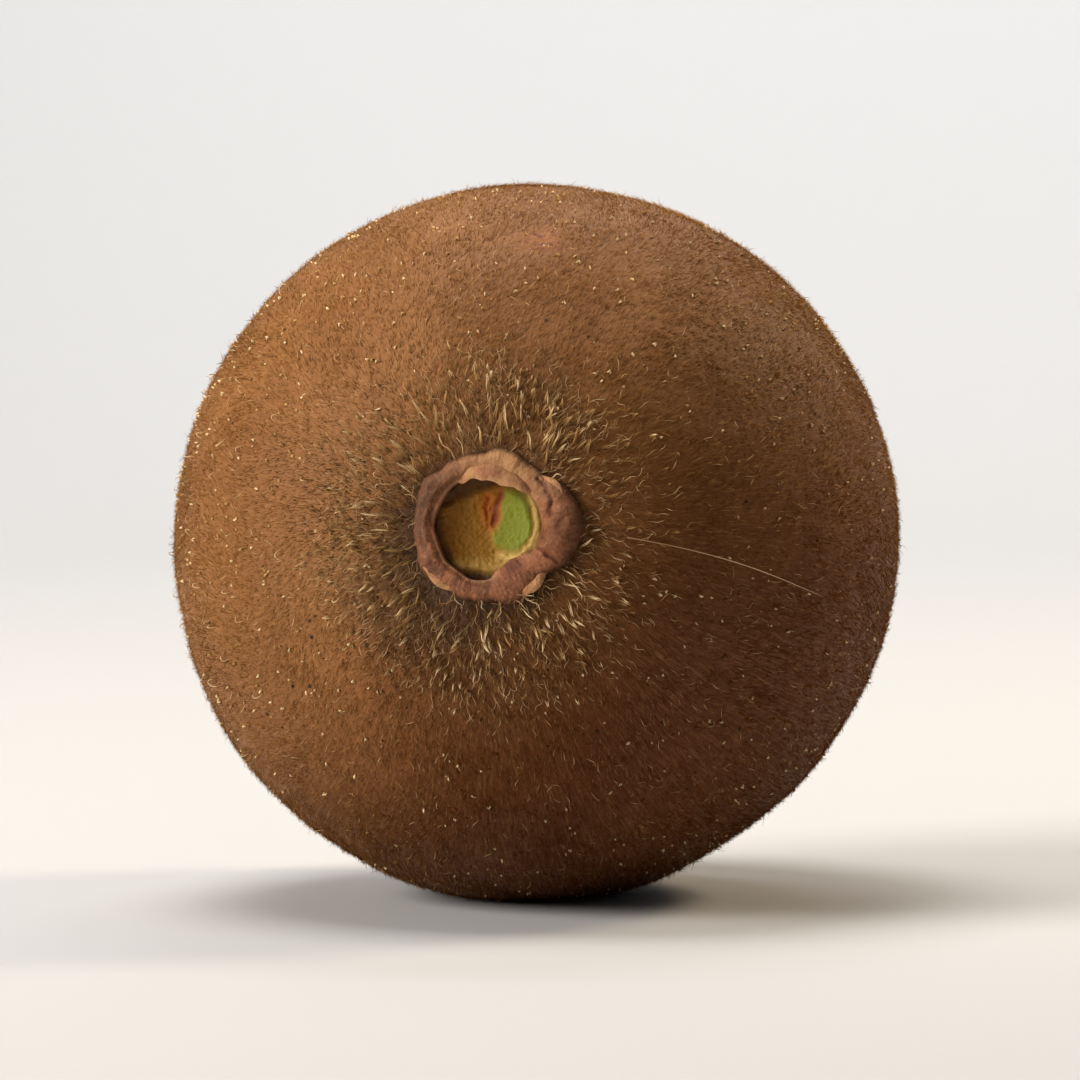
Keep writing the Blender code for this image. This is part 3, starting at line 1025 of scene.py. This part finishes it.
def add_hairs(name, paths, thickness, tone, finish, sides=3):
    """One piece of hairs, which lie on the floor rather than go through it."""
    count, joints = paths.shape[:2]
    points, faces = strand_mesh(paths, thickness, sides)
    up_hair = np.append(np.repeat(np.linspace(0, 1, joints)[:-1], sides), 1.0)
    marks = {"tone": np.repeat(tone, points.shape[1]), "up_hair": np.tile(up_hair, count)}
    laid = lay_down(points, FLOOR_GAP)
    add_piece(name, laid, faces.tolist(), finish, marks, strand_map(count, joints, sides))


def drawn(draw, size, low, high, share=1.0):
    """Numbers drawn evenly between two limits, times a share."""
    return draw.uniform(low, high, size) * share


def grow(names, finish, angle, turn, draw, seed, spread, rise, length, bend, thick, joints, wave,
         aim=0.0, lift=0.0, sides=3):
    """Grows hairs at places of the skin, and deals them out to the named pieces.

    Their heading is drawn about aim with this spread. The rise in degrees, the length and
    thickness in millimetres and the bend are two limits each, and may have a share.
    """
    size = len(angle)
    heading = aim + draw.normal(0, spread, size)
    rise = np.radians(drawn(draw, size, *rise))
    length = drawn(draw, size, *length) * MM
    bend = drawn(draw, size, *bend)
    paths = strand_paths(angle, turn, length, rise, heading, bend, joints, wave, seed)
    paths = paths + skin_ways(angle, turn)[2][:, None] * lift
    thickness = drawn(draw, size, *thick) * MM
    tone = draw.uniform(size=size)
    for number, name in enumerate(names):
        dealt = np.arange(size) % len(names) == number
        add_hairs(name, paths[dealt], thickness[dealt], tone[dealt], finish, sides)


def off_floor(angle, turn):
    """0 on the flat spot under the fruit, 1 elsewhere."""
    return (turned_down(skin_point(angle, turn)) + SHIFT)[..., 2] > FLAT_SPOT


def on_skin(angle, points, stem_from, blossom_from):
    """0 on the collar and scar and on the crown of styles, 1 from these distances on."""
    off = off_axis(points)
    stem = np.where(np.cos(angle) > 0, smooth(off, stem_from, stem_from + 0.8 * MM), 1)
    return stem * np.where(np.cos(angle) < 0, smooth(off, blossom_from, blossom_from + MM), 1)


NAP_HAIRS, NAP_SECTORS = 186_000, 8


def make_nap():
    """The short nap, in sectors round the axis: thin straight hairs that lie back from the stem."""
    finish = hair_finish("nap", (86, 52, 22), (166, 115, 60), (206, 166, 110), 0.91)

    def keep(angle, turn, points):
        thin = 0.75 + 0.2 * waves(points, 0.006, seed=11)
        return on_skin(angle, points, 5.2 * MM, 1.8 * MM) * thin.clip(0.3, 1) * off_floor(angle, turn)

    angle, turn = scatter(NAP_HAIRS, 21, keep)
    draw = np.random.default_rng(22)
    points = skin_point(angle, turn)
    size = len(angle)
    blossom_side = smooth(-points[..., 2], 8 * MM, 27 * MM)
    heading = 0.45 * waves(points, 0.018, seed=12) + draw.normal(0, 0.24 + 0.5 * blossom_side)
    rise = np.radians(draw.uniform(8, 28, size))
    length = draw.uniform(0.00045, 0.00110, size) * (1 + 0.4 * blossom_side)
    tone = draw.uniform(size=size)
    paths = strand_paths(angle, turn, length, rise, heading, np.zeros(size), 2)
    thickness = draw.uniform(0.000030, 0.000046, size)
    sector = ((turn + math.pi) / math.tau * NAP_SECTORS).astype(int)
    for number in range(NAP_SECTORS):
        chosen = sector == number
        add_hairs(f"nap_{number + 1}", paths[chosen], thickness[chosen], tone[chosen], finish)


FUZZ_HAIRS = 24_000


def make_fuzz():
    """Longer, thinner spread hairs that stand off the nap and soften the outline."""
    finish = hair_finish("fuzz", (100, 62, 28), (194, 144, 88), (226, 194, 142), 0.85)

    def keep(angle, turn, points):
        return on_skin(angle, points, 5.4 * MM, 2.2 * MM) * off_floor(angle, turn)

    angle, turn = scatter(FUZZ_HAIRS, 23, keep)
    grow(
        ["fuzz_1", "fuzz_2"], finish, angle, turn, np.random.default_rng(24), 25,
        spread=0.6, rise=(12, 48), length=(0.5, 1.5), bend=(0.1, 0.6), thick=(0.036, 0.060),
        joints=4, wave=0.10,
    )


BRISTLE_TUFTS, UNDERCOAT = 430, 3600
DOT_TUFTS, CURLS = 1700, 70


def make_bristles():
    """Coarse straw-coloured tufts that stand out round the collar, thickest below and left."""
    finish = hair_finish("bristles", (104, 70, 34), (208, 166, 108), (240, 212, 164), 0.66, collar_shade=0.0)

    def round_collar(angle, turn, points, start=5.5):
        off = off_axis(points) / MM
        below = bell(wrapped(turn + math.radians(85)), math.radians(62))
        left = bell(wrapped(turn - math.radians(185)), math.radians(50))
        above = 0.55 * bell(wrapped(turn - math.radians(80)), math.radians(60))
        way = np.maximum(np.maximum(below, 0.9 * left), above).clip(0.22)
        ring = (1 - smooth(off, 7.2, 14.5)) * smooth(off, start, start + 0.7)
        return ring * way * (np.cos(angle) > 0) * 4

    angle, turn = scatter(BRISTLE_TUFTS, 26, round_collar)
    draw = np.random.default_rng(27)
    size = len(angle)
    far = smooth(off_axis(skin_point(angle, turn)) / MM, 6.5, 12.5)
    length = (draw.uniform(1.1, 2.5, size) * (1 - far) + draw.uniform(0.6, 1.1, size) * far) * MM
    rise = np.radians(draw.uniform(24, 52, size) * (1 - far) + draw.uniform(50, 86, size) * far)
    heading = draw.normal(0, 0.34, size)
    bend = draw.uniform(-0.05, 0.40, size)
    middles = strand_paths(angle, turn, length, rise, heading, bend, 7, wave=0.035, seed=28)
    paths = tuft_paths(middles, angle, turn, 5, 0.09 * MM, 29)
    thickness = draw.uniform(0.040, 0.068, len(paths)) * MM
    tone = np.repeat(draw.uniform(size=size), 5)
    add_hairs("bristles", paths, thickness, tone, finish, sides=4)
    make_undercoat(lambda angle, turn, points: round_collar(angle, turn, points, 4.7))
    make_dots(finish)
    make_curls(finish)


def make_undercoat(keep):
    """Fine dull hairs between the bristles, of their kind of lie but shorter and thinner."""
    finish = hair_finish("undercoat", (70, 48, 28), (180, 142, 94), (222, 190, 142), 0.7)
    angle, turn = scatter(UNDERCOAT, 40, keep)
    grow(
        ["undercoat"], finish, angle, turn, np.random.default_rng(41), 42,
        spread=0.55, rise=(15, 55), length=(0.6, 1.9), bend=(0.0, 0.5), thick=(0.032, 0.058),
        joints=6, wave=0.11,
    )


def make_dots(finish):
    """Small pale tufts that stand upright all over the fruit, and read as dots end on."""

    def keep(angle, turn, points):
        return on_skin(angle, points, 7 * MM, 4 * MM) * off_floor(angle, turn)

    angle, turn = scatter(DOT_TUFTS, 31, keep)
    draw = np.random.default_rng(32)
    size = len(angle)
    length = draw.uniform(0.20, 0.42, size) * MM
    rise = np.radians(draw.uniform(70, 90, size))
    heading = draw.normal(0, 0.8, size)
    middles = strand_paths(angle, turn, length, rise, heading, np.zeros(size), 4, seed=33)
    paths = tuft_paths(middles, angle, turn, 3, 0.075 * MM, 34)
    thickness = draw.uniform(0.13, 0.23, len(paths)) * MM
    tone = np.repeat(draw.uniform(0.45, 1.0, size), 3)
    add_hairs("pale_dots", paths, thickness, tone, finish)


def make_curls(finish):
    """Stout hairs that curl over in a loop, from the collar to the fruit's left side."""

    def keep(angle, turn, points):
        left = bell(wrapped(turn - math.radians(176)), math.radians(32))
        return left * smooth(off_axis(points) / MM, 6.5, 9.0) * (np.cos(angle) > 0.25) * 2

    angle, turn = scatter(CURLS, 35, keep)
    draw = np.random.default_rng(36)
    along, around, out = (way[:, None] for way in skin_ways(angle, turn))
    share = np.linspace(0, 1, 14)[None, :, None]
    circle = share * draw.uniform(1.2, 5.2, (CURLS, 1, 1)) + draw.uniform(0, math.tau, (CURLS, 1, 1))
    size = draw.uniform(0.18, 0.46, (CURLS, 1, 1)) * MM
    loop = along * (np.cos(circle) - np.cos(circle[:, :1]))
    loop = loop + around * (np.sin(circle) - np.sin(circle[:, :1]))
    lifted = out * np.sin(share * math.pi) * 0.55 * MM
    paths = dressed(angle, turn, -ROOT_DEPTH)[:, None] + loop * size + lifted
    thickness = draw.uniform(0.05, 0.10, CURLS) * MM
    add_hairs("curled_hairs", paths, thickness, draw.uniform(0.5, 1, CURLS), finish, sides=5)


BLOSSOM_HAIRS = 5200


def make_blossom_hairs():
    """Wavy tan hairs over the dark ground at the blossom end, long round it, short in it."""
    finish = hair_finish("blossom hairs", (92, 56, 24), (188, 134, 80), (226, 188, 136), 0.75)

    def keep(angle, turn, points):
        off = off_axis(points) / MM
        ring = bell(off - 3.5, 8.0) * smooth(off, 2.2, 3.8)
        return ring * (np.cos(angle) < 0) * off_floor(angle, turn) * 3

    angle, turn = scatter(BLOSSOM_HAIRS, 37, keep)
    off = off_axis(skin_point(angle, turn)) / MM
    near, far = 1 - smooth(off, 2.5, 6.0), smooth(off, 8.0, 18.0)
    grow(
        ["blossom_hairs"], finish, angle, turn, np.random.default_rng(38), 39,
        spread=0.75 + 0.7 * near, rise=(16, 48, 1 - 0.4 * far), bend=(0.15, 0.5),
        length=(1.2, 3.4, (1 - 0.6 * near) * (1 - 0.6 * far)), thick=(0.045, 0.078, 1 - 0.2 * far),
        joints=7, wave=0.12,
    )


STRAW_FIBRES = 46


def make_straw():
    """Frayed straw-coloured fibres along the collar's outer edge, most at the lower right."""
    finish = hair_finish("straw", (150, 108, 68), (206, 164, 116), (232, 200, 150), 0.6)
    draw = np.random.default_rng(61)
    size = STRAW_FIBRES
    lower = draw.normal(math.radians(-62), math.radians(20), size)
    turn = np.where(draw.uniform(size=size) < 0.7, lower, draw.uniform(-math.pi, math.pi, size))
    grow(
        ["straw_fibres"], finish, angle_at(draw.uniform(4.9, 5.7, size) * MM), wrapped(turn), draw, 62,
        spread=0.9, rise=(4, 35), length=(0.8, 2.0), bend=(0.0, 0.4), thick=(0.07, 0.13),
        joints=8, wave=0.12, lift=0.45 * MM, sides=5,
    )


def make_stray_hair():
    """One long pale hair that lies across the right side in a shallow bow."""
    finish = hair_finish("stray hair", (176, 138, 100), (206, 170, 130), (220, 190, 150), 0.5)
    ends = skin_point(*seen_at(STRAY_HAIR))
    share = np.linspace(0, 1, 40)[:, None]
    chord = ends[0] + (ends[1] - ends[0]) * share
    rise = np.sin(share[:, 0] * math.pi)
    turn = np.arctan2(chord[:, 1], chord[:, 0])
    path = dressed(angle_at(off_axis(chord)), turn, (0.12 + 0.80 * rise) * MM)
    path = path + np.array([0.0, 0.5 * MM, 0.0]) * rise[:, None]
    add_hairs("stray_hair", path[None], np.array([0.10 * MM]), np.array([0.6]), finish, sides=6)


# The studio


def make_camera():
    """A long lens at the photograph's angle, level, with the fruit in the middle."""
    data = bpy.data.cameras.new("camera")
    data.lens = data.sensor_width * CAMERA_DISTANCE * FRUIT_SHARE / DIAMETER
    camera = put("camera", data)
    camera.location = MIDDLE + CAMERA_AWAY * CAMERA_DISTANCE
    camera.rotation_euler = (math.pi / 2 - CAMERA_ELEVATION, 0, CAMERA_AZIMUTH)
    bpy.context.scene.camera = camera


LAMPS = [
    # place, size, power, colour, what it faces
    ("key", (-0.52, -0.31, 0.26), 0.34, 6.0, (1.0, 0.96, 0.91), (0, 0, DIAMETER / 2)),
    ("top", (-0.10, 0.06, 0.60), 0.28, 2.6, (1.0, 0.97, 0.92), (0, 0, DIAMETER / 2)),
    ("rim", (0.34, 0.24, 0.35), 0.12, 1.5, (1.0, 0.80, 0.54), (0, 0, DIAMETER / 2)),
    ("back", (0.0, 0.62, 0.80), 0.40, 7.0, (0.97, 0.98, 1.0), (0, 1.0, 0.30)),
]


def make_lamps():
    """Square soft boxes, each turned to what it faces."""
    for name, place, size, power, colour, facing in LAMPS:
        data = bpy.data.lights.new(name, "AREA")
        data.size, data.energy, data.color = size, power, colour
        lamp = put(name, data)
        lamp.location = place
        aim = np.array(facing) - np.array(place)
        level = math.hypot(aim[0], aim[1])
        lamp.rotation_euler = (math.atan2(level, -aim[2]), 0, math.atan2(-aim[0], aim[1]))


def make_studio():
    """A pale floor that curves up behind the fruit, lit apart, in a faint even light."""
    ahead, turn_start, radius, half_width, height = -1.5, 0.5, 0.5, 2.0, 2.5
    bend = np.linspace(0, math.pi / 2, 24)
    y = np.concatenate([[ahead], turn_start + radius * np.sin(bend), [turn_start + radius]])
    z = np.concatenate([[0], radius * (1 - np.cos(bend)), [height]])
    line = np.stack([np.zeros_like(y), y, z], -1)
    points = line[:, None] + np.array([[half_width, 0, 0], [-half_width, 0, 0]])
    finish, _ = new_finish("paper", Roughness=0.9, Base_Color=(0.52, 0.515, 0.51, 1))
    faces = sheet_faces(len(line), 2, wrap=False).tolist()
    backdrop = put("backdrop", new_mesh("backdrop", points, faces, finish))
    world = bpy.data.worlds.new("studio")
    world.use_nodes = True
    light = world.node_tree.nodes["Background"].inputs
    light["Color"].default_value = (0.95, 0.97, 1.0, 1)
    light["Strength"].default_value = 0.08
    bpy.context.scene.world = world
    bpy.context.scene.view_settings.view_transform = "Standard"


for make in (
    make_camera, make_studio, make_lamps, make_skin, make_spots, make_scar, make_collar, make_flaps,
    make_straw, make_hub, make_styles, make_nap, make_fuzz, make_bristles, make_blossom_hairs,
    make_stray_hair,
):
    make()
